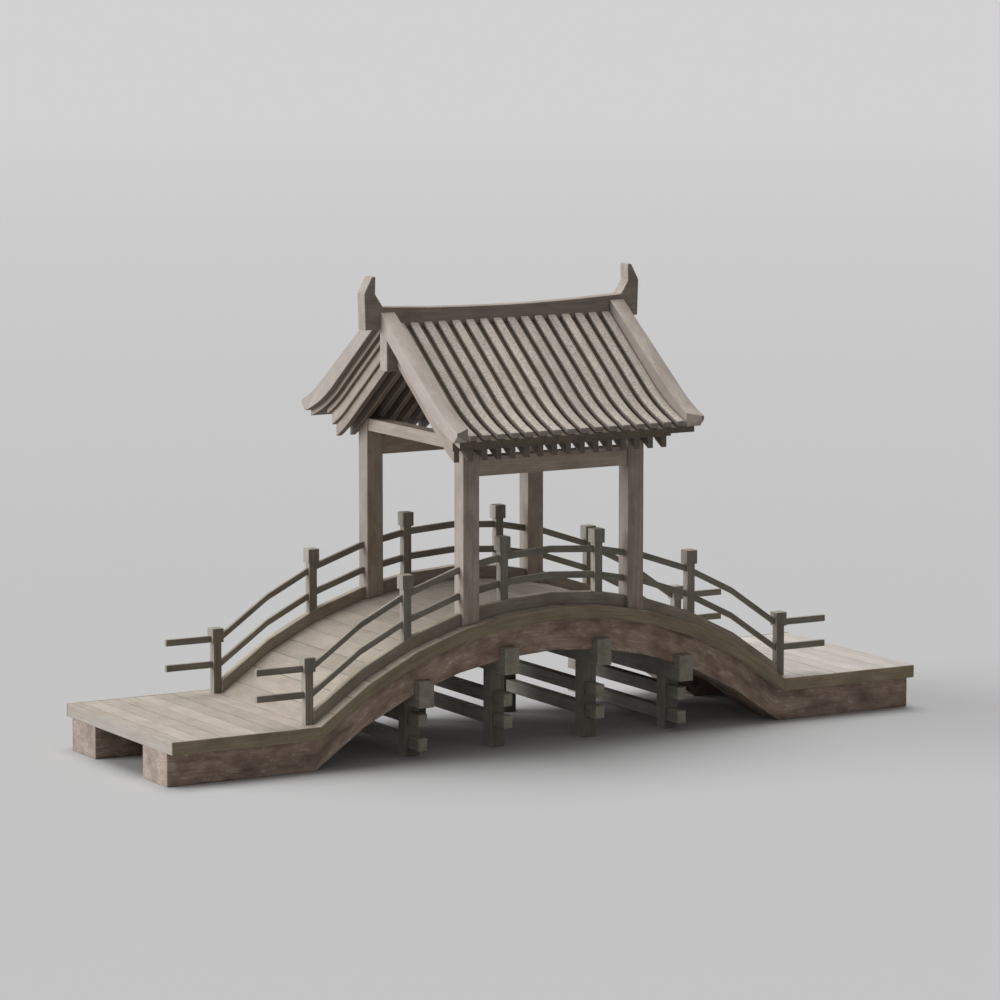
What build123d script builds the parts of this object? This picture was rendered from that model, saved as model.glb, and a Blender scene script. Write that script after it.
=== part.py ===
"""Arched timber footbridge with a roofed pavilion at its crown, in millimetres.

X runs along the bridge, Y across it and Z up. The origin is on the ground under the crown.
"""
import os
from math import sqrt

from build123d import *

os.makedirs("parts", exist_ok=True)

# Plan and profile of the bridge
bridge_length = 13000
deck_width = 3624
platform_height = 690
deck_thickness = 194
arch_span = 8144
arch_rise = 1460
arch_facets = 10

# The two arched beams that carry the deck
beam_width = 813
beam_inset = 187

# Trestle bents under the arch
outer_bent_x = 2277
inner_bent_x = 810
cap_width = 250
cap_height = 405
cap_hang = 230
cap_overhang = 150
bent_post_size = 235
bent_rail_width = 150
bent_rail_height = 190
bent_rail_overhang = 26
outer_bent_rail_shares = (0.277, 0.740)
inner_bent_rail_shares = (0.367, 0.650)

# Kerbs and railings
railing_line_inset = 309
kerb_width = 150
kerb_height = 190
rail_post_size = 133
rail_head_size = 187
rail_head_height = 215
end_post_height = 1004
inner_post_height = 1150
lower_post_x = 2487
upper_post_x = 826
rail_thickness = 65
rail_height = 100
mid_rail_height = 395
rail_stub = 784

# Pavilion frame
pavilion_post_x = 1438
pavilion_post_size = 280
tie_width = 240
tie_height = 190
tie_clearance = 8
eave_beam_width = 220
eave_beam_height = 295
eave_beam_drop = 90

# Roof slopes, read along the tops of the ribs
roof_eave_run = 2350
roof_eave_height = 4918
roof_rise = 1565
roof_knee_share = 0.604
roof_sag = 138
rib_count = 16
rib_end_gap = 228
rib_width = 155
rib_height = 95
board_thickness = 85
board_end_gap = 105
lining_thickness = 90
lining_end_gap = 75
lining_run = 1950
soffit_thickness = 195
soffit_end_gap = 56
soffit_run = 1900
rafter_width = 95
rafter_height = 200
rafter_run = 1850

# Purlin under the ridge, between the rafters of the two slopes
purlin_width = 220
purlin_depth = 644
purlin_end_gap = 5

# Bargeboards on the two gables
barge_thickness = 245
barge_lift_ridge = 160
barge_lift_tip = 70
barge_reach_tip = 110
barge_knee_share = 0.752
barge_sag = 86
barge_tip_depth = 60
barge_tip_width = 40

# Ridge beam with a horn at each end
ridge_width = 230
ridge_length = 4790
ridge_overhang = 255
ridge_lift = 159
ridge_dip = 64
horn_foot_inset = 301
horn_neck_inset = 172
horn_neck_height = 200
horn_shoulder_reach = 16
horn_shoulder_height = 213
horn_tip_inset = 114
horn_tip_width = 66
horn_height = 460

# Places worked out from the sizes above
half_length = bridge_length / 2
half_span = arch_span / 2
arch_radius = (half_span**2 + arch_rise**2) / (2 * arch_rise)
beam_depth = platform_height - deck_thickness
beam_centre = deck_width / 2 - beam_inset - beam_width / 2
beam_face = deck_width / 2 - beam_inset
cap_length = 2 * (beam_face + cap_overhang)
bent_rail_length = 2 * (beam_face + bent_rail_overhang)
railing_line = deck_width / 2 - railing_line_inset
kerb_top = platform_height + kerb_height
end_post_x = half_span + rail_post_size / 2
top_rail_height = end_post_height - rail_head_height
rail_end = end_post_x + rail_post_size / 2 + rail_stub
pavilion_inner_x = pavilion_post_x - pavilion_post_size / 2
pavilion_outer_x = pavilion_post_x + pavilion_post_size / 2
roof_ridge_height = roof_eave_height + roof_rise
ridge_end_top = roof_ridge_height + ridge_lift
gable_width = ridge_length - 2 * ridge_overhang
board_length = gable_width - 2 * board_end_gap
lining_length = board_length - 2 * lining_end_gap
soffit_length = lining_length - 2 * soffit_end_gap
purlin_length = board_length - 2 * purlin_end_gap
rib_span = board_length - 2 * rib_end_gap
roof_knee_run = roof_eave_run * roof_knee_share
roof_knee_height = roof_ridge_height - roof_rise * roof_knee_share - roof_sag
board_drop = rib_height
lining_drop = board_drop + board_thickness
soffit_drop = lining_drop + lining_thickness
rafter_drop = soffit_drop + soffit_thickness
roof_depth = rafter_drop + rafter_height
purlin_half = purlin_width / 2
rib_places = [rib_span * (place / (rib_count - 1) - 1 / 2) for place in range(rib_count)]
roof_steepness = (roof_ridge_height - roof_knee_height) / roof_knee_run
post_inner_line = railing_line - pavilion_post_size / 2
tie_top = roof_ridge_height - roof_steepness * post_inner_line - roof_depth - tie_clearance
eave_beam_top = tie_top - tie_height - eave_beam_drop
ridge_base = roof_ridge_height - board_drop - roof_steepness * ridge_width / 2


def circle_rise(x):
    """Height of the true arc over the platform level."""
    return sqrt(arch_radius**2 - x**2) - (arch_radius - arch_rise)


arch_joints = [arch_span * (joint / arch_facets - 1 / 2) for joint in range(arch_facets + 1)]


def arch_climb(x):
    """Height over the platform level of the straight lengths that follow the arc."""
    if abs(x) >= half_span:
        return 0
    facet = arch_span / arch_facets
    joint = min(int((x + half_span) / facet), arch_facets - 1)
    share = (x - arch_joints[joint]) / facet
    low = circle_rise(arch_joints[joint])
    high = circle_rise(arch_joints[joint + 1])
    return low + (high - low) * share


def arch_strip(start, end, bottom, top):
    """Closed side outline between two heights over the arch line, from start to end."""
    places = [start] + [x for x in arch_joints if start < x < end] + [end]
    upper = [(x, arch_climb(x) + top) for x in places]
    lower = [(x, arch_climb(x) + bottom) for x in reversed(places)]
    return upper + lower


def side_plane(y):
    """Upright plane along the bridge at a distance across it."""
    return Plane.XZ.offset(-y)


def draw_strip(y, start, end, bottom, top):
    """Sketch one strip that follows the arch on the upright plane at y."""
    with BuildSketch(side_plane(y)) as strip:
        with BuildLine():
            Polyline(*arch_strip(start, end, bottom, top), close=True)
        make_face()
    return strip.sketch


def draw_roof_layer(side, planes, top_drop, bottom_drop, inner, outer):
    """Sketch one layer of a slope between two drops below the rib tops and two plumb cuts."""
    eave = side * roof_eave_run
    knee = side * roof_knee_run
    with BuildSketch(*planes) as layer:
        with BuildLine():
            upper = Line((0, roof_ridge_height - top_drop), (knee, roof_knee_height - top_drop))
            TangentArc(upper @ 1, (eave, roof_eave_height - top_drop), tangent=upper % 1)
            lower = Line((0, roof_ridge_height - bottom_drop), (knee, roof_knee_height - bottom_drop))
            TangentArc(lower @ 1, (eave, roof_eave_height - bottom_drop), tangent=lower % 1)
            Line((0, roof_ridge_height - top_drop), (0, roof_ridge_height - bottom_drop))
            Line((eave, roof_eave_height - top_drop), (eave, roof_eave_height - bottom_drop))
        make_face()
        with Locations((side * (inner + outer) / 2, roof_ridge_height / 2)):
            Rectangle(outer - inner, roof_ridge_height, mode=Mode.INTERSECT)
    return layer.sketch


def save(piece, name):
    """Name a finished piece and write it out."""
    piece.part.label = name
    export_step(piece.part, f"parts/{name}.step")


sides = {"front": -1, "rear": 1}
ends = {"left": -1, "right": 1}

bents = {
    "left_outer": (-outer_bent_x, outer_bent_rail_shares),
    "left_inner": (-inner_bent_x, inner_bent_rail_shares),
    "right_inner": (inner_bent_x, inner_bent_rail_shares),
    "right_outer": (outer_bent_x, outer_bent_rail_shares),
}

# Arched beams, notched from below over the bent caps
for side_name, side in sides.items():
    with BuildPart() as arch_beam:
        beam_outline = draw_strip(side * beam_centre, -half_length, half_length, 0, beam_depth)
        extrude(beam_outline, amount=beam_width / 2, both=True)
        for bent_x, rail_shares in bents.values():
            cap_middle = arch_climb(bent_x) - cap_hang + cap_height / 2
            with BuildSketch(side_plane(side * beam_centre)):
                with Locations((bent_x, cap_middle)):
                    Rectangle(cap_width, cap_height)
            extrude(amount=beam_width / 2, both=True, mode=Mode.SUBTRACT)
    save(arch_beam, f"{side_name}_arch_beam")

# Deck: a level platform at each end and the arched length between them
for end_name, end in ends.items():
    with BuildPart() as platform:
        start, finish = sorted((end * half_span, end * half_length))
        extrude(draw_strip(0, start, finish, beam_depth, platform_height), amount=deck_width / 2, both=True)
    save(platform, f"{end_name}_platform")

with BuildPart() as arch_deck:
    deck_outline = draw_strip(0, -half_span, half_span, beam_depth, platform_height)
    extrude(deck_outline, amount=deck_width / 2, both=True)
save(arch_deck, "arch_deck")

# Trestle bents: a cap across both beams, two posts and two rails right through the posts
for bent_name, (bent_x, rail_shares) in bents.items():
    cap_base = arch_climb(bent_x) - cap_hang
    rail_levels = [cap_base * share for share in rail_shares]

    with BuildPart() as bent_cap:
        with BuildSketch(side_plane(0)):
            with Locations((bent_x, cap_base + cap_height / 2)):
                Rectangle(cap_width, cap_height)
        extrude(amount=cap_length / 2, both=True)
    save(bent_cap, f"{bent_name}_bent_cap")

    with BuildPart() as bent_posts:
        with BuildSketch():
            with Locations((bent_x, -beam_centre), (bent_x, beam_centre)):
                Rectangle(bent_post_size, bent_post_size)
        extrude(amount=cap_base)
        with BuildSketch(side_plane(0)):
            with Locations(*[(bent_x, level) for level in rail_levels]):
                Rectangle(bent_rail_width, bent_rail_height)
        extrude(amount=bent_rail_length / 2, both=True, mode=Mode.SUBTRACT)
    save(bent_posts, f"{bent_name}_bent_posts")

    with BuildPart() as bent_rails:
        with BuildSketch(side_plane(0)):
            with Locations(*[(bent_x, level) for level in rail_levels]):
                Rectangle(bent_rail_width, bent_rail_height)
        extrude(amount=bent_rail_length / 2, both=True)
    save(bent_rails, f"{bent_name}_bent_rails")

# Kerbs between the end posts and the pavilion posts, and between the pavilion posts
kerb_runs = [
    (-half_span, -pavilion_outer_x),
    (-pavilion_inner_x, pavilion_inner_x),
    (pavilion_outer_x, half_span),
]
for side_name, side in sides.items():
    with BuildPart() as kerb:
        for start, finish in kerb_runs:
            kerb_outline = draw_strip(side * railing_line, start, finish, platform_height, kerb_top)
            extrude(kerb_outline, amount=kerb_width / 2, both=True)
    save(kerb, f"{side_name}_kerb")

# Railing posts with square heads: end posts stand on the platforms, the others on the kerbs
for side_name, side in sides.items():
    with BuildPart() as railing_posts:
        for post_x in (-end_post_x, -lower_post_x, -upper_post_x, upper_post_x, lower_post_x, end_post_x):
            at_end = abs(post_x) > half_span
            post_height = end_post_height if at_end else inner_post_height
            head_base = platform_height + arch_climb(post_x) + post_height - rail_head_height
            with BuildSketch(Plane.XY.offset(platform_height)):
                with Locations((post_x, side * railing_line)):
                    Rectangle(rail_post_size, rail_post_size)
            extrude(amount=head_base - platform_height)
            with BuildSketch(Plane.XY.offset(head_base)):
                with Locations((post_x, side * railing_line)):
                    Rectangle(rail_head_size, rail_head_size)
            extrude(amount=rail_head_height)
        under_posts = draw_strip(side * railing_line, -half_span, half_span, -arch_rise, kerb_top)
        extrude(under_posts, amount=kerb_width / 2, both=True, mode=Mode.SUBTRACT)
    save(railing_posts, f"{side_name}_railing_posts")

# Rails butted between the posts, with free ends past the end posts
post_half = rail_post_size / 2
head_half = rail_head_size / 2
rail_bases = {top_rail_height: head_half, mid_rail_height: post_half}
for side_name, side in sides.items():
    for zone_name in ("left", "middle", "right"):
        with BuildPart() as rails:
            for rail_base, end_half in rail_bases.items():
                outer_bays = [
                    (end_post_x + end_half, rail_end),
                    (lower_post_x + post_half, end_post_x - end_half),
                    (pavilion_outer_x, lower_post_x - post_half),
                ]
                inner_bays = [
                    (-pavilion_inner_x, -upper_post_x - post_half),
                    (-upper_post_x + post_half, upper_post_x - post_half),
                    (upper_post_x + post_half, pavilion_inner_x),
                ]
                bays = {
                    "left": [(-finish, -start) for start, finish in outer_bays],
                    "middle": inner_bays,
                    "right": outer_bays,
                }
                rail_bottom = platform_height + rail_base
                for start, finish in bays[zone_name]:
                    rail_top = rail_bottom + rail_height
                    rail_outline = draw_strip(side * railing_line, start, finish, rail_bottom, rail_top)
                    extrude(rail_outline, amount=rail_thickness / 2, both=True)
        save(rails, f"{side_name}_{zone_name}_rails")

# Pavilion posts: feet cut to the deck's climb, tops cut to the underside of the rafters
for side_name, side in sides.items():
    for end_name, end in ends.items():
        with BuildPart() as pavilion_post:
            with BuildSketch(Plane.XY.offset(platform_height)):
                with Locations((end * pavilion_post_x, side * railing_line)):
                    Rectangle(pavilion_post_size, pavilion_post_size)
            extrude(amount=roof_eave_height - platform_height)
            under_post = draw_strip(side * railing_line, -half_span, half_span, -arch_rise, platform_height)
            extrude(under_post, amount=pavilion_post_size, both=True, mode=Mode.SUBTRACT)
            over_post = draw_roof_layer(side, [Plane.YZ], 0, roof_depth, 0, roof_eave_run)
            extrude(over_post, amount=board_length / 2, both=True, mode=Mode.SUBTRACT)
        save(pavilion_post, f"{side_name}_{end_name}_pavilion_post")

# Beams along the eaves and ties across the gables, tenoned between the posts
for side_name, side in sides.items():
    with BuildPart() as eave_beam:
        with BuildSketch(Plane.XY.offset(eave_beam_top - eave_beam_height)):
            with Locations((0, side * railing_line)):
                Rectangle(pavilion_inner_x * 2, eave_beam_width)
        extrude(amount=eave_beam_height)
    save(eave_beam, f"{side_name}_eave_beam")

for end_name, end in ends.items():
    with BuildPart() as tie_beam:
        with BuildSketch(Plane.XY.offset(tie_top - tie_height)):
            with Locations((end * pavilion_post_x, 0)):
                Rectangle(tie_width, post_inner_line * 2)
        extrude(amount=tie_height)
    save(tie_beam, f"{end_name}_tie_beam")

# Purlin under the ridge, its top cut to the underside of the roof boards
with BuildPart() as ridge_purlin:
    with BuildSketch(Plane.YZ):
        with Locations((0, roof_ridge_height - lining_drop - purlin_depth / 2)):
            Rectangle(purlin_width, purlin_depth)
    extrude(amount=purlin_length / 2, both=True)
    for side in sides.values():
        over_purlin = draw_roof_layer(side, [Plane.YZ], 0, lining_drop, 0, roof_eave_run)
        extrude(over_purlin, amount=purlin_length, both=True, mode=Mode.SUBTRACT)
save(ridge_purlin, "ridge_purlin")

# Roof slopes, from the rafters with their free tails up to the ribs
rib_planes = [Plane.YZ.offset(x) for x in rib_places]
for side_name, side in sides.items():
    with BuildPart() as rafters:
        rafter_outline = draw_roof_layer(side, rib_planes, rafter_drop, roof_depth, purlin_half, rafter_run)
        extrude(rafter_outline, amount=rafter_width / 2, both=True)
    save(rafters, f"{side_name}_rafters")

    with BuildPart() as soffit:
        soffit_outline = draw_roof_layer(
            side, [Plane.YZ], soffit_drop, rafter_drop, purlin_half, soffit_run
        )
        extrude(soffit_outline, amount=soffit_length / 2, both=True)
    save(soffit, f"{side_name}_roof_soffit")

    with BuildPart() as lining:
        lining_outline = draw_roof_layer(
            side, [Plane.YZ], lining_drop, soffit_drop, purlin_half, lining_run
        )
        extrude(lining_outline, amount=lining_length / 2, both=True)
    save(lining, f"{side_name}_roof_lining")

    with BuildPart() as roof_boards:
        board_outline = draw_roof_layer(side, [Plane.YZ], board_drop, lining_drop, 0, roof_eave_run)
        extrude(board_outline, amount=board_length / 2, both=True)
    save(roof_boards, f"{side_name}_roof_boards")

    with BuildPart() as ribs:
        rib_outline = draw_roof_layer(side, rib_planes, 0, board_drop, ridge_width / 2, roof_eave_run)
        extrude(rib_outline, amount=rib_width / 2, both=True)
    save(ribs, f"{side_name}_roof_ribs")

# Bargeboards: seated on the roof boards, with their own sweep and a tip cut back on the inner side
barge_ridge = roof_ridge_height + barge_lift_ridge
barge_tip_run = roof_eave_run + barge_reach_tip
barge_tip = roof_eave_height + barge_lift_tip
barge_knee_run = barge_tip_run * barge_knee_share
barge_knee = barge_ridge - (barge_ridge - barge_tip) * barge_knee_share - barge_sag
barge_seat = roof_ridge_height - board_drop
barge_outer = gable_width / 2
barge_inner = barge_outer - barge_thickness
for side_name, side in sides.items():
    for end_name, end in ends.items():
        with BuildPart() as bargeboard:
            with BuildSketch(Plane.YZ.offset(end * (gable_width - barge_thickness) / 2)):
                with BuildLine():
                    crest = Line((0, barge_ridge), (side * barge_knee_run, barge_knee))
                    sweep_up = TangentArc(crest @ 1, (side * barge_tip_run, barge_tip), tangent=crest % 1)
                    tip = Line(sweep_up @ 1, (side * barge_tip_run, barge_tip - barge_tip_depth))
                    Line(tip @ 1, (side * roof_eave_run, roof_eave_height - board_drop))
                    seat = Line((0, barge_seat), (side * roof_knee_run, roof_knee_height - board_drop))
                    TangentArc(
                        seat @ 1, (side * roof_eave_run, roof_eave_height - board_drop), tangent=seat % 1
                    )
                    Line((0, barge_seat), (0, barge_ridge))
                make_face()
                with Locations((0, barge_seat)):
                    Rectangle(ridge_width, roof_ridge_height, mode=Mode.SUBTRACT)
            extrude(amount=barge_thickness / 2, both=True)
            with BuildSketch():
                with BuildLine():
                    Polyline(
                        (end * barge_inner, side * roof_eave_run),
                        (end * barge_inner, side * barge_tip_run),
                        (end * (barge_outer - barge_tip_width), side * barge_tip_run),
                        close=True,
                    )
                make_face()
            extrude(amount=barge_ridge, mode=Mode.SUBTRACT)
        save(bargeboard, f"{side_name}_{end_name}_bargeboard")

# Ridge beam: a dipped back between two horns, its underside cut to sit on both slopes
ridge_half = ridge_length / 2
with BuildPart() as ridge:
    with BuildSketch(side_plane(0)):
        with BuildLine():
            back = ThreePointArc(
                (horn_foot_inset - ridge_half, ridge_end_top),
                (0, ridge_end_top - ridge_dip),
                (ridge_half - horn_foot_inset, ridge_end_top),
            )
            for end, foot in ((-1, back @ 0), (1, back @ 1)):
                Polyline(
                    foot,
                    (end * (ridge_half - horn_neck_inset), ridge_end_top + horn_neck_height),
                    (end * (ridge_half - horn_tip_inset - horn_tip_width), ridge_end_top + horn_height),
                    (end * (ridge_half - horn_tip_inset), ridge_end_top + horn_height),
                    (end * (ridge_half + horn_shoulder_reach), ridge_end_top + horn_shoulder_height),
                    (end * ridge_half, ridge_base),
                )
            Line((-ridge_half, ridge_base), (ridge_half, ridge_base))
        make_face()
    extrude(amount=ridge_width / 2, both=True)
    for side in sides.values():
        slope_outline = draw_roof_layer(side, [Plane.YZ], board_drop, roof_depth, 0, ridge_width)
        extrude(slope_outline, amount=board_length / 2, both=True, mode=Mode.SUBTRACT)
save(ridge, "ridge_beam")
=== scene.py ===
"""Looks of the arched timber footbridge: worn timbers, deck and roof boards, studio and camera."""
import random
from math import asin, radians

import bmesh
import bpy
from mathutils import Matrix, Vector


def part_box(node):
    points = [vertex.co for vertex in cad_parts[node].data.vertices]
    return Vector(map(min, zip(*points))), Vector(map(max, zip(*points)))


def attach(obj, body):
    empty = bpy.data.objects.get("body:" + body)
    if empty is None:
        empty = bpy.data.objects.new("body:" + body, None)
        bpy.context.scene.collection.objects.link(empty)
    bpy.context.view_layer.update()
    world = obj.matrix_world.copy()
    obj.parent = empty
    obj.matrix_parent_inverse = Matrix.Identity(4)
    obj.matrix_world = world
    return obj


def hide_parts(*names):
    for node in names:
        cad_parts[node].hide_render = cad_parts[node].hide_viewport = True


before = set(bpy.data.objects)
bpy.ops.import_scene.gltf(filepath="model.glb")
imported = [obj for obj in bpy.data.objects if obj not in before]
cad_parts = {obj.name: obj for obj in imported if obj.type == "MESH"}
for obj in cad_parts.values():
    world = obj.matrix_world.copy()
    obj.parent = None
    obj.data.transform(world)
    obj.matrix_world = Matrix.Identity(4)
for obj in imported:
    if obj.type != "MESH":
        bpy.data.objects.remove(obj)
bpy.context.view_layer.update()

X, Y, Z = 0, 1, 2
SIDES = ("front", "rear")
ENDS = ("left", "right")
BENTS = ("left_outer", "left_inner", "right_inner", "right_outer")

# Sizes of the bridge, in metres. The roof falls 607 mm in each metre along its slopes
HALF_SPAN = 4.072
ARCH_RISE = 1.460
ARCH_RADIUS = (HALF_SPAN**2 + ARCH_RISE**2) / (2 * ARCH_RISE)
ROOF_PITCH = asin(0.607)

# Boards and the gaps between them, in metres
PLANK_PITCH = 0.3064
PLANK_START = -6.288
PLANK_GAP = 0.007
PLANK_SETTLE = 0.003
SHORTEST_PLANK = 0.064
EDGE_BOARD = 0.032
ROOF_BOARD_PITCH = 0.241
ROOF_GAP = 0.003

# How far tools and weather have eased the edges, in metres, and which edges are sharp enough for it
HEAVY_EDGE = 0.014
LIGHT_EDGE = 0.007
BOARD_EDGE = 0.006
RIB_EDGE = 0.026
SHARP_ANGLE = radians(25)

# Limits for joining a solid's triangles into whole faces and for sawing them
WELD = 0.0002
FLAT_ANGLE = radians(1)
SAW_LIMIT = WELD / 10

# The ways that the sides of a timber face, and how closely a face has to look that way
LEFT, RIGHT = Vector((-1, 0, 0)), Vector((1, 0, 0))
FRONT, REAR = Vector((0, -1, 0)), Vector((0, 1, 0))
DOWN = Vector((0, 0, -1))
LEFT_CLIMB = Vector((-0.5, 0, 0.866))
FRONT_TIP_CUT, REAR_TIP_CUT = Vector((0.47, -0.88, 0)), Vector((0.47, 0.88, 0))
FACING = 0.75


def painted_shade_on(share, *ways):
    """The same share of painted shade on every side that faces one of the ways."""
    return tuple((way, share) for way in ways)


# Sides darkened with painted shade: front and rear sides, undersides, walls of grooves and gaps, and cut
# tips; on the eave ends it also stands for darker end grain
LONG_SIDES = painted_shade_on(0.50, FRONT, REAR)
KERB_SIDES = painted_shade_on(0.49, FRONT, REAR)
RIDGE_SIDES = painted_shade_on(0.45, FRONT, REAR)
BOARD_ENDS = painted_shade_on(0.35, FRONT, REAR)
EAVE_ENDS = painted_shade_on(0.70, FRONT, REAR)
UNDERSIDES = painted_shade_on(0.70, DOWN)
# Painted shade on the cut tips of the bargeboards
TIP_CUTS = painted_shade_on(0.55, FRONT_TIP_CUT, REAR_TIP_CUT)
# Painted shade on the walls of the grooves between ribs, on the rafters inside the roof and in the gaps
# between planks
RIB_SIDES = EAVE_ENDS + painted_shade_on(0.58, LEFT, RIGHT)
RAFTER_SIDES = EAVE_ENDS + UNDERSIDES + painted_shade_on(0.60, LEFT, RIGHT)
PLANK_SIDES = painted_shade_on(0.65, LEFT, RIGHT)
# The planks of the arch's left slope also get painted shade, for the pavilion's shadow
SHADED_PLANKS = PLANK_SIDES + painted_shade_on(0.22, LEFT_CLIMB)


def linear(hex_code):
    """An sRGB hex colour as the linear values that the shaders take."""
    shares = [int(hex_code[i : i + 2], 16) / 255 for i in (1, 3, 5)]
    return [s / 12.92 if s <= 0.04045 else ((s + 0.055) / 1.055) ** 2.4 for s in shares] + [1.0]


def darkened(hex_code, share):
    """A linear colour that keeps a share of its light."""
    return [value * share for value in linear(hex_code)[:3]] + [1.0]


def bare_tree(block):
    """The emptied node tree of a new material or world."""
    block.use_nodes = True
    block.node_tree.nodes.clear()
    return block.node_tree


def add(tree, kind, inputs=None, **settings):
    """Add a node with its settings, and link or set its inputs."""
    node = tree.nodes.new("ShaderNode" + kind)
    for key, value in settings.items():
        setattr(node, key, value)
    for key, value in (inputs or {}).items():
        if isinstance(value, bpy.types.NodeSocket):
            tree.links.new(value, node.inputs[key])
        else:
            node.inputs[key].default_value = value
    return node


# Sockets that go by number: the limits of a range, and the parts of a colour mix
FROM_LOW, FROM_HIGH, TO_LOW, TO_HIGH = 1, 2, 3, 4
MIX_SHARE, MIX_UNDER, MIX_OVER, MIXED = 0, 6, 7, 2

# Timber finishes: pale and dark grain, stain, scraped wood, and how strongly stains and cracks show
FINISHES = {
    # Larch planks walked pale: faint grain, soft grey and pink patches
    "trodden_larch_deck": ("#C4B9AC", "#B5A99B", "#A09486", "#C6BBAF", 0.55, 0.20),
    # The same planks, painted paler and whiter as painted light on the right platform
    "light_painted_larch_deck": ("#D8D1C9", "#CBC3BA", "#B8AEA4", "#DCD6CF", 0.45, 0.20),
    # Long larch boards along the deck's edge, olive brown with drying cracks
    "olive_larch_edge": ("#A4947C", "#8A7A62", "#665845", "#AC9C84", 0.50, 0.75),
    # Heavy chestnut beams, mottled where the bark side was scraped off
    "scraped_chestnut_beam": ("#BFA796", "#A48C7B", "#715B4F", "#DCCBBC", 0.90, 0.45),
    # Oak of the railings; painted shade darkens their front and rear sides
    "lichened_oak": ("#B4AC9E", "#958C7D", "#776F61", "#BDB6A9", 0.60, 0.40),
    # Oak of the kerbs, trodden pale on top; painted shade makes the front and rear sides brown
    "trodden_oak_kerb": ("#CCC2B1", "#B2A794", "#877863", "#D4CBBC", 0.60, 0.40),
    # Darker oak of the trestles, painted darker as painted shade for their place under the arch
    "shade_painted_oak": ("#ACA597", "#8E8778", "#706A5C", "#B0A99B", 0.60, 0.40),
    # Planed cedar of the pavilion's posts, grey brown with soft grain
    "planed_cedar_frame": ("#B6A899", "#9E8E80", "#7A6A5F", "#BAADA0", 0.55, 0.40),
    # Warmer cedar of the beams and the roof's lower layers, painted paler as painted light where the roof's
    # shade falls
    "light_painted_cedar_frame": ("#C0B0A0", "#A99786", "#877567", "#C6B8A9", 0.55, 0.40),
    # Sun-bleached cedar of the roof's ribs, roughened to a fine speckle
    "bleached_cedar_roof": ("#DFD5C9", "#C9BDAF", "#A99C8E", "#E4DBD0", 0.45, 0.30),
    # Cedar boards between the ribs, painted dark as painted shade for the grooves
    "shade_painted_cedar_board": ("#7B6D59", "#635847", "#4F463A", "#7B6D59", 0.50, 0.30),
    # Smooth pale cedar of the bargeboards and the purlin, with soft patches
    "smooth_cedar_verge": ("#C6BBB0", "#BAAEA2", "#A39488", "#CEC4BA", 0.70, 0.10),
    # Cedar of the ridge beam, browner where rain has stained it
    "brown_cedar_ridge": ("#C3B6A9", "#A7998B", "#7F695B", "#C9BDB2", 0.50, 0.35),
}
SPECKLED = "bleached_cedar_roof"

# Real sizes of the patterns, in metres, along the grain and across it
# They are drawn coarser than wood's own, so that they show
PATTERNS = {
    "fibre": (0.900, 0.022),
    "patch": (0.450, 0.240),
    "scrape": (0.110, 0.030),
    "crack": (0.700, 0.016),
    "speckle": (0.034, 0.034),
}
NOISE = {"Scale": 1.0, "Detail": 4.0, "Roughness": 0.6}

# Where on the noise each mark starts to show and where it shows in full
GRAIN_SHOWS = {FROM_LOW: 0.33, FROM_HIGH: 0.67}
STAIN_SHOWS = {FROM_LOW: 0.42, FROM_HIGH: 0.68}
BARE_SHOWS = {FROM_LOW: 0.54, FROM_HIGH: 0.40}
SCRAPE_SHOWS = {FROM_LOW: 0.54, FROM_HIGH: 0.66}
CRACK_SHOWS = {FROM_LOW: 0.33, FROM_HIGH: 0.27}
SPECKLE_SHOWS = {FROM_LOW: 0.46, FROM_HIGH: 0.66, TO_HIGH: 0.55}

# Share of the stain's light that is left in cracks, in the pits of a speckle and under painted shade
CRACK_LIGHT = 0.30
PIT_LIGHT = 0.45
PAINTED_SHADE_LIGHT = 0.30

# Faces towards the ends of the bridge get fewer stains and a greyer colour: this evens their end grain, and
# on the lit left faces it is painted light
PALE_END_STAIN = 0.6
PALE_END_COLOUR = {TO_LOW: 1.0, TO_HIGH: 0.75}

# How timbers differ in tone, how far their patterns lie apart, and the surface of bare wood
TONE_RANGE = {TO_LOW: 0.90, TO_HIGH: 1.08}
TONE_SHIFT = (37.0, 53.0, 71.0)
ROUGHNESS_RANGE = {TO_LOW: 0.55, TO_HIGH: 0.80}
RELIEF = {"Strength": 0.6, "Distance": 0.006}
WOOD_IOR = 1.5

# The axis that a timber's grain runs along, and its turn about x
GRAINS = {
    "x": (X, 0.0),
    "y": (Y, 0.0),
    "z": (Z, 0.0),
    "arch": (X, 0.0),
    "front": (Y, ROOF_PITCH),
    "rear": (Y, -ROOF_PITCH),
}
made_finishes = {}


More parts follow.
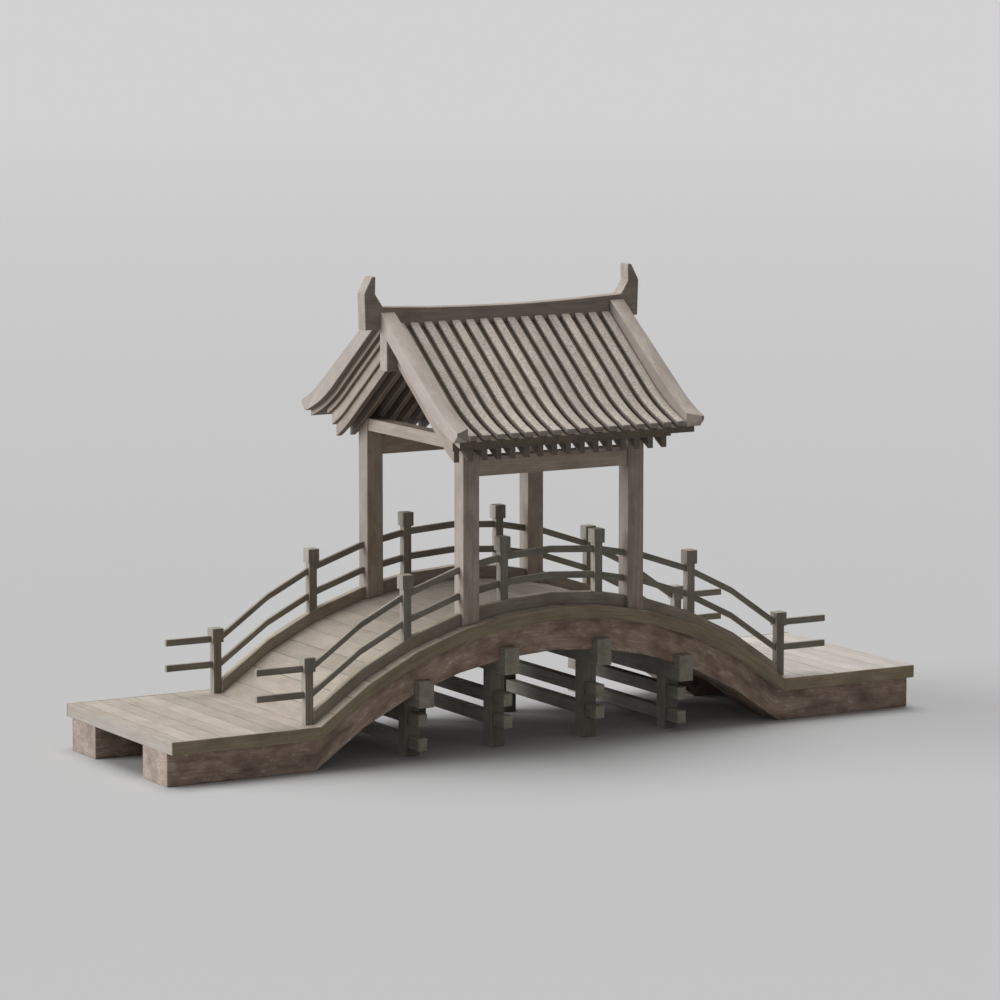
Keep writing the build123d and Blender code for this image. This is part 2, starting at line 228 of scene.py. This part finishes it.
def timber(finish, grain):
    """Wood of one finish whose grain runs along x, y, z, a roof slope, or along x with the arch."""
    name = f"{finish}_{grain}"
    if name in made_finishes:
        return made_finishes[name]
    pale, dark, stain, scraped, patchiness, cracking = FINISHES[finish]
    axis, turn = GRAINS[grain]
    material = bpy.data.materials.new(name)
    tree = bare_tree(material)
    tone = add(tree, "Attribute", attribute_name="tone").outputs["Fac"]
    painted_shade = add(tree, "Attribute", attribute_name="painted_shade").outputs["Fac"]
    pale_end_face = add(tree, "Attribute", attribute_name="pale_end_face").outputs["Fac"]
    place = add(tree, "TexCoord").outputs["Object"]

    if grain == "arch":
        # Take the climb of the arch off the height, so that the grain follows the bend
        parts = add(tree, "SeparateXYZ", {0: place}).outputs
        run = add(tree, "Math", {0: parts["X"]}, operation="ABSOLUTE").outputs[0]
        run = add(tree, "Math", {0: run, 1: HALF_SPAN}, operation="MINIMUM").outputs[0]
        square = add(tree, "Math", {0: run, 1: 2.0}, operation="POWER").outputs[0]
        square = add(tree, "Math", {0: ARCH_RADIUS**2, 1: square}, operation="SUBTRACT").outputs[0]
        climb = add(tree, "Math", {0: square, 1: 0.5}, operation="POWER").outputs[0]
        height = add(tree, "Math", {0: parts["Z"], 1: climb}, operation="SUBTRACT").outputs[0]
        place = add(tree, "CombineXYZ", {0: parts["X"], 1: parts["Y"], 2: height}).outputs[0]
    shift = add(tree, "VectorMath", {0: TONE_SHIFT, "Scale": tone}, operation="SCALE").outputs[0]
    place = add(tree, "VectorMath", {0: place, 1: shift}, operation="ADD").outputs[0]

    noise = {}
    for pattern, (length, width) in PATTERNS.items():
        if pattern == "speckle" and finish != SPECKLED:
            continue
        size = [width] * 3
        size[axis] = length
        stretched = {0: place, "Rotation": (turn, 0.0, 0.0), "Scale": size}
        vector = add(tree, "Mapping", stretched, vector_type="TEXTURE").outputs[0]
        noise[pattern] = add(tree, "TexNoise", {"Vector": vector, **NOISE}).outputs[0]

    # Each mark covers the ones before it, and the painted shade covers them all
    grain_share = add(tree, "MapRange", {0: noise["fibre"], **GRAIN_SHOWS}).outputs[0]
    staining = {0: pale_end_face, TO_LOW: patchiness, TO_HIGH: patchiness * PALE_END_STAIN}
    most_stain = add(tree, "MapRange", staining).outputs[0]
    stain_share = add(tree, "MapRange", {0: noise["patch"], **STAIN_SHOWS, TO_HIGH: most_stain}).outputs[0]
    bare = add(tree, "MapRange", {0: noise["patch"], **BARE_SHOWS, TO_HIGH: patchiness}).outputs[0]
    scrape_share = add(tree, "MapRange", {0: noise["scrape"], **SCRAPE_SHOWS, TO_HIGH: bare}).outputs[0]
    crack_share = add(tree, "MapRange", {0: noise["crack"], **CRACK_SHOWS, TO_HIGH: cracking}).outputs[0]
    marks = [
        (grain_share, linear(dark)),
        (stain_share, linear(stain)),
        (scrape_share, linear(scraped)),
        (crack_share, darkened(stain, CRACK_LIGHT)),
    ]
    if finish == SPECKLED:
        pit_share = add(tree, "MapRange", {0: noise["speckle"], **SPECKLE_SHOWS}).outputs[0]
        marks.append((pit_share, darkened(stain, PIT_LIGHT)))
    marks.append((painted_shade, darkened(stain, PAINTED_SHADE_LIGHT)))
    colour = linear(pale)
    for share, mark in marks:
        layers = {MIX_SHARE: share, MIX_UNDER: colour, MIX_OVER: mark}
        colour = add(tree, "Mix", layers, data_type="RGBA").outputs[MIXED]
    value = add(tree, "MapRange", {0: tone, **TONE_RANGE}).outputs[0]
    greyness = add(tree, "MapRange", {0: pale_end_face, **PALE_END_COLOUR}).outputs[0]
    toned = {"Saturation": greyness, "Value": value, "Color": colour}
    colour = add(tree, "HueSaturation", toned).outputs[0]

    relief = add(tree, "Math", {0: noise["fibre"], 1: crack_share}, operation="SUBTRACT").outputs[0]
    bump = add(tree, "Bump", {"Height": relief, **RELIEF}).outputs[0]
    rough = add(tree, "MapRange", {0: noise["fibre"], **ROUGHNESS_RANGE}).outputs[0]
    surface = {"Base Color": colour, "Roughness": rough, "IOR": WOOD_IOR, "Normal": bump}
    shader = add(tree, "BsdfPrincipled", surface)
    add(tree, "OutputMaterial", {"Surface": shader.outputs[0]})
    made_finishes[name] = material
    return material


def merged(node):
    """A copy of a node's mesh with its triangles joined into whole faces."""
    bm = bmesh.new()
    bm.from_mesh(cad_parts[node].data)
    bmesh.ops.remove_doubles(bm, verts=bm.verts, dist=WELD)
    bmesh.ops.dissolve_limit(bm, angle_limit=FLAT_ANGLE, verts=bm.verts, edges=bm.edges)
    return bm


def trim(bm, axis, place, side):
    """Cut away what lies past a place on an axis, on the side given, and close the cut."""
    point, normal = Vector(), Vector()
    point[axis], normal[axis] = place, side
    shape = bm.verts[:] + bm.edges[:] + bm.faces[:]
    cut = bmesh.ops.bisect_plane(
        bm, geom=shape, dist=SAW_LIMIT, plane_co=point, plane_no=normal, clear_outer=True
    )
    rim = [part for part in cut["geom_cut"] if isinstance(part, bmesh.types.BMEdge)]
    bmesh.ops.holes_fill(bm, edges=rim, sides=0)


def spans(joints, gap):
    """The stretches between neighbouring joints, each half a gap short of both."""
    return [(low + gap / 2, high - gap / 2) for low, high in zip(joints, joints[1:])]


def boards(whole, axis, stretches):
    """Saw a shape into one board for each stretch of an axis."""
    sawn = bmesh.new()
    for low, high in stretches:
        board = whole.copy()
        trim(board, axis, low, -1)
        trim(board, axis, high, 1)
        loose = bpy.data.meshes.new("board")
        board.to_mesh(loose)
        board.free()
        sawn.from_mesh(loose)
        bpy.data.meshes.remove(loose)
    whole.free()
    return sawn


def islands(bm):
    """The separate timbers of a mesh, each as a list of faces."""
    left = set(bm.faces)
    found = []
    for start in bm.faces:
        if start not in left:
            continue
        left.discard(start)
        group, queue = [start], [start]
        while queue:
            for edge in queue.pop().edges:
                for face in edge.link_faces:
                    if face in left:
                        left.discard(face)
                        group.append(face)
                        queue.append(face)
        found.append(group)
    return found


def placed(name, data):
    """A new object of the scene, at the origin."""
    thing = bpy.data.objects.new(name, data)
    bpy.context.scene.collection.objects.link(thing)
    return thing


def finish_piece(name, bm, edge, material, slot, *nodes, settle=0.0, painted_shade=(), ends=None):
    """Ease the sharp edges, give each timber a tone, darken sides with painted shade, and put the piece on
    the bridge.

    The faces at the piece's own two ends along the bridge get no painted shade, and are of another wood if
    one is given.
    """
    draw = random.Random(name)
    sharp = [e for e in bm.edges if e.is_manifold and e.calc_face_angle() > SHARP_ANGLE]
    bmesh.ops.bevel(
        bm, geom=sharp, offset=edge, affect="EDGES", segments=2, profile=0.5, material=-1, clamp_overlap=True
    )
    tone_layer = bm.faces.layers.float.new("tone")
    for group in islands(bm):
        tone = draw.random()
        drop = Vector((0, 0, -settle * draw.random()))
        for face in group:
            face[tone_layer] = tone
        bmesh.ops.translate(bm, vec=drop, verts=list({v for face in group for v in face.verts}))
    bm.normal_update()
    # Painted shade on the faces that look the ways given
    painted_shade_layer = bm.faces.layers.float.new("painted_shade")
    pale_end_face_layer = bm.faces.layers.float.new("pale_end_face")
    reach = max(abs(v.co.x) for v in bm.verts) - edge
    for face in bm.faces:
        shares = [share for way, share in painted_shade if face.normal.dot(way) > FACING]
        at_end = abs(face.calc_center_median().x) > reach
        face.material_index = int(at_end and ends is not None)
        face[painted_shade_layer] = 0.0 if at_end else max(shares, default=0.0)
        # Faces towards the ends get fewer stains and a greyer colour, partly painted light on the left faces
        face[pale_end_face_layer] = abs(face.normal.x) > FACING
    mesh = bpy.data.meshes.new(name)
    bm.to_mesh(mesh)
    bm.free()
    mesh.materials.append(material)
    if ends:
        mesh.materials.append(ends)
    piece = placed(name, mesh)
    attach(piece, "root")
    if nodes:
        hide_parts(*nodes)


def worn(node, edge, material, slot, painted_shade=()):
    """A node's own shape with its edges eased by tools and weather."""
    finish_piece(f"{node}_timber", merged(node), edge, material, slot, node, painted_shade=painted_shade)


# Deck: planks across, closed along both sides by edge boards
plank_count = round(2 * -PLANK_START / PLANK_PITCH)
plank_joints = [PLANK_START * (1 - 2 * i / plank_count) for i in range(plank_count + 1)]
for node in ("left_platform", "arch_deck", "right_platform"):
    low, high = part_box(node)
    front_edge, rear_edge = low.y + EDGE_BOARD, high.y - EDGE_BOARD
    between = merged(node)
    trim(between, Y, rear_edge, 1)
    trim(between, Y, front_edge, -1)
    inner = [x for x in plank_joints if low.x + SHORTEST_PLANK < x < high.x - SHORTEST_PLANK]
    joints = [low.x - PLANK_GAP] + inner + [high.x + PLANK_GAP]
    planks = boards(between, X, spans(joints, PLANK_GAP))
    # The right platform takes the paler planks, as painted light
    larch = timber("light_painted_larch_deck" if node == "right_platform" else "trodden_larch_deck", "y")
    sides = SHADED_PLANKS if node == "arch_deck" else PLANK_SIDES
    finish_piece(
        f"{node}_planks", planks, BOARD_EDGE, larch, "deck_timber", node, settle=PLANK_SETTLE, painted_shade=sides
    )
    stretches = [(low.y - PLANK_GAP, front_edge), (rear_edge, high.y + PLANK_GAP)]
    edges = boards(merged(node), Y, stretches)
    finish_piece(
        f"{node}_edge_boards", edges, BOARD_EDGE, timber("olive_larch_edge", "arch"), "deck_timber"
    )

# Beams, kerbs, railings and trestles
for side in SIDES:
    worn(f"{side}_arch_beam", HEAVY_EDGE, timber("scraped_chestnut_beam", "arch"), "beam_timber")
    worn(f"{side}_kerb", LIGHT_EDGE, timber("trodden_oak_kerb", "arch"), "railing_timber", KERB_SIDES)
    worn(f"{side}_railing_posts", LIGHT_EDGE, timber("lichened_oak", "z"), "railing_timber", LONG_SIDES)
    rail_oak = timber("lichened_oak", "arch")
    for zone in ("left", "middle", "right"):
        worn(f"{side}_{zone}_rails", LIGHT_EDGE, rail_oak, "railing_timber", LONG_SIDES)
# The trestles take the darker oak, painted shade for the space under the arch
for bent in BENTS:
    worn(f"{bent}_bent_cap", LIGHT_EDGE, timber("shade_painted_oak", "y"), "trestle_timber")
    worn(f"{bent}_bent_rails", LIGHT_EDGE, timber("shade_painted_oak", "y"), "trestle_timber")
    worn(f"{bent}_bent_posts", LIGHT_EDGE, timber("shade_painted_oak", "z"), "trestle_timber", LONG_SIDES)

# Pavilion frame
for side in SIDES:
    for end in ENDS:
        worn(f"{side}_{end}_pavilion_post", HEAVY_EDGE, timber("planed_cedar_frame", "z"), "frame_timber")
    # The eave and tie beams take the paler cedar, painted light for the shade under the roof
    worn(f"{side}_eave_beam", LIGHT_EDGE, timber("light_painted_cedar_frame", "x"), "frame_timber")
for end in ENDS:
    worn(f"{end}_tie_beam", LIGHT_EDGE, timber("light_painted_cedar_frame", "y"), "frame_timber")

# Roof: the grain of all but the ridge runs down the slopes
for side in SIDES:
    bleached = timber("bleached_cedar_roof", side)
    light_painted_cedar = timber("light_painted_cedar_frame", side)
    verge = timber("smooth_cedar_verge", side)
    # Dark boards between the ribs, painted shade for the grooves
    shade_painted_board = timber("shade_painted_cedar_board", side)
    worn(f"{side}_roof_ribs", RIB_EDGE, bleached, "roof_timber", RIB_SIDES)
    worn(f"{side}_rafters", LIGHT_EDGE, light_painted_cedar, "roof_timber", RAFTER_SIDES)
    for layer in ("roof_lining", "roof_soffit"):
        worn(f"{side}_{layer}", LIGHT_EDGE, light_painted_cedar, "roof_timber", EAVE_ENDS + UNDERSIDES)
    for end in ENDS:
        worn(f"{side}_{end}_bargeboard", LIGHT_EDGE, verge, "roof_timber", UNDERSIDES + TIP_CUTS)

    node = f"{side}_roof_boards"
    low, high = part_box(node)
    count = round((high.x - low.x) / ROOF_BOARD_PITCH)
    inner = [low.x + (high.x - low.x) * i / count for i in range(1, count)]
    joints = [low.x - ROOF_GAP] + inner + [high.x + ROOF_GAP]
    sawn = boards(merged(node), X, spans(joints, ROOF_GAP))
    finish_piece(
        f"{node}_sawn", sawn, ROOF_GAP, shade_painted_board, "roof_timber", node, painted_shade=BOARD_ENDS, ends=light_painted_cedar
    )
worn("ridge_purlin", HEAVY_EDGE, timber("smooth_cedar_verge", "x"), "roof_timber", LONG_SIDES)
worn("ridge_beam", HEAVY_EDGE, timber("brown_cedar_ridge", "x"), "roof_timber", RIDGE_SIDES)


def shown_rays(tree):
    """The share of rays that show the backdrop itself: from the camera, off gloss and through glass."""
    rays = add(tree, "LightPath").outputs
    first_pair = {0: rays["Is Camera Ray"], 1: rays["Is Glossy Ray"]}
    shown = add(tree, "Math", first_pair, operation="MAXIMUM").outputs[0]
    second_pair = {0: shown, 1: rays["Is Transmission Ray"]}
    return add(tree, "Math", second_pair, operation="MAXIMUM").outputs[0]


# Studio floor: matt paper that pales into the distance, and throws back less light than it shows
FLOOR_REACH = 900.0
HAZE = {FROM_LOW: 10.0, FROM_HIGH: 160.0}
NEAR_PAPER, FAR_PAPER, PAPER_LIGHT = "#C7C7C7", "#D5D5D5", "#A0A0A0"
floor_shape = bmesh.new()
bmesh.ops.create_grid(floor_shape, x_segments=2, y_segments=2, size=FLOOR_REACH)
floor_mesh = bpy.data.meshes.new("studio_floor")
floor_shape.to_mesh(floor_mesh)
floor_shape.free()
floor = placed("studio_floor", floor_mesh)
paper = bpy.data.materials.new("matt_backdrop_paper")
tree = bare_tree(paper)
place = add(tree, "TexCoord").outputs["Object"]
away = add(tree, "VectorMath", {0: place}, operation="LENGTH").outputs["Value"]
haze = add(tree, "MapRange", {0: away, **HAZE}).outputs[0]
fade = {MIX_SHARE: haze, MIX_UNDER: linear(NEAR_PAPER), MIX_OVER: linear(FAR_PAPER)}
faded = add(tree, "Mix", fade, data_type="RGBA").outputs[MIXED]
tints = {MIX_SHARE: shown_rays(tree), MIX_UNDER: linear(PAPER_LIGHT), MIX_OVER: faded}
tint = add(tree, "Mix", tints, data_type="RGBA").outputs[MIXED]
matt = add(tree, "BsdfDiffuse", {"Color": tint})
add(tree, "OutputMaterial", {"Surface": matt.outputs[0]})
floor_mesh.materials.append(paper)

# Soft lamps, low at the left rear and overhead: name, strength, width in degrees, and where each stands
LAMPS = (
    ("low_left_lamp", 2.45, 45, (-0.88, 0.38, 0.25)),
    ("overhead_lamp", 1.72, 48, (0.05, 0.22, 0.97)),
)
for name, strength, width, toward in LAMPS:
    lamp_data = bpy.data.lights.new(name, "SUN")
    lamp_data.energy = strength
    lamp_data.angle = radians(width)
    lamp = placed(name, lamp_data)
    lamp.rotation_mode = "QUATERNION"
    lamp.rotation_quaternion = Vector(toward).to_track_quat("Z", "Y")

# Even fill from all round, behind a paler backdrop
BACKDROP, FILL_LIGHT = "#D4D4D4", "#848484"
world = bpy.data.worlds.new("studio")
bpy.context.scene.world = world
tree = bare_tree(world)
tints = {MIX_SHARE: shown_rays(tree), MIX_UNDER: linear(FILL_LIGHT), MIX_OVER: linear(BACKDROP)}
tint = add(tree, "Mix", tints, data_type="RGBA").outputs[MIXED]
sky = add(tree, "Background", {"Color": tint, "Strength": 1.0})
add(tree, "OutputWorld", {"Surface": sky.outputs[0]})

# Camera at the photograph's viewing angle: lens and sensor in millimetres, place and sight in metres
LENS, SENSOR = 170.16, 36.0
CAMERA_PLACE = (-35.9023, -62.2527, 13.5863)
CAMERA_TILT, CAMERA_TURN = radians(82.0535), radians(-29.9735)
CAMERA_SIGHT = 2000.0
camera_data = bpy.data.cameras.new("camera")
camera_data.lens = LENS
camera_data.sensor_width = SENSOR
camera_data.clip_end = CAMERA_SIGHT
camera = placed("camera", camera_data)
camera.location = CAMERA_PLACE
camera.rotation_euler = (CAMERA_TILT, 0.0, CAMERA_TURN)
bpy.context.scene.camera = camera
bpy.context.scene.view_settings.view_transform = "Standard"

bpy.context.view_layer.update()
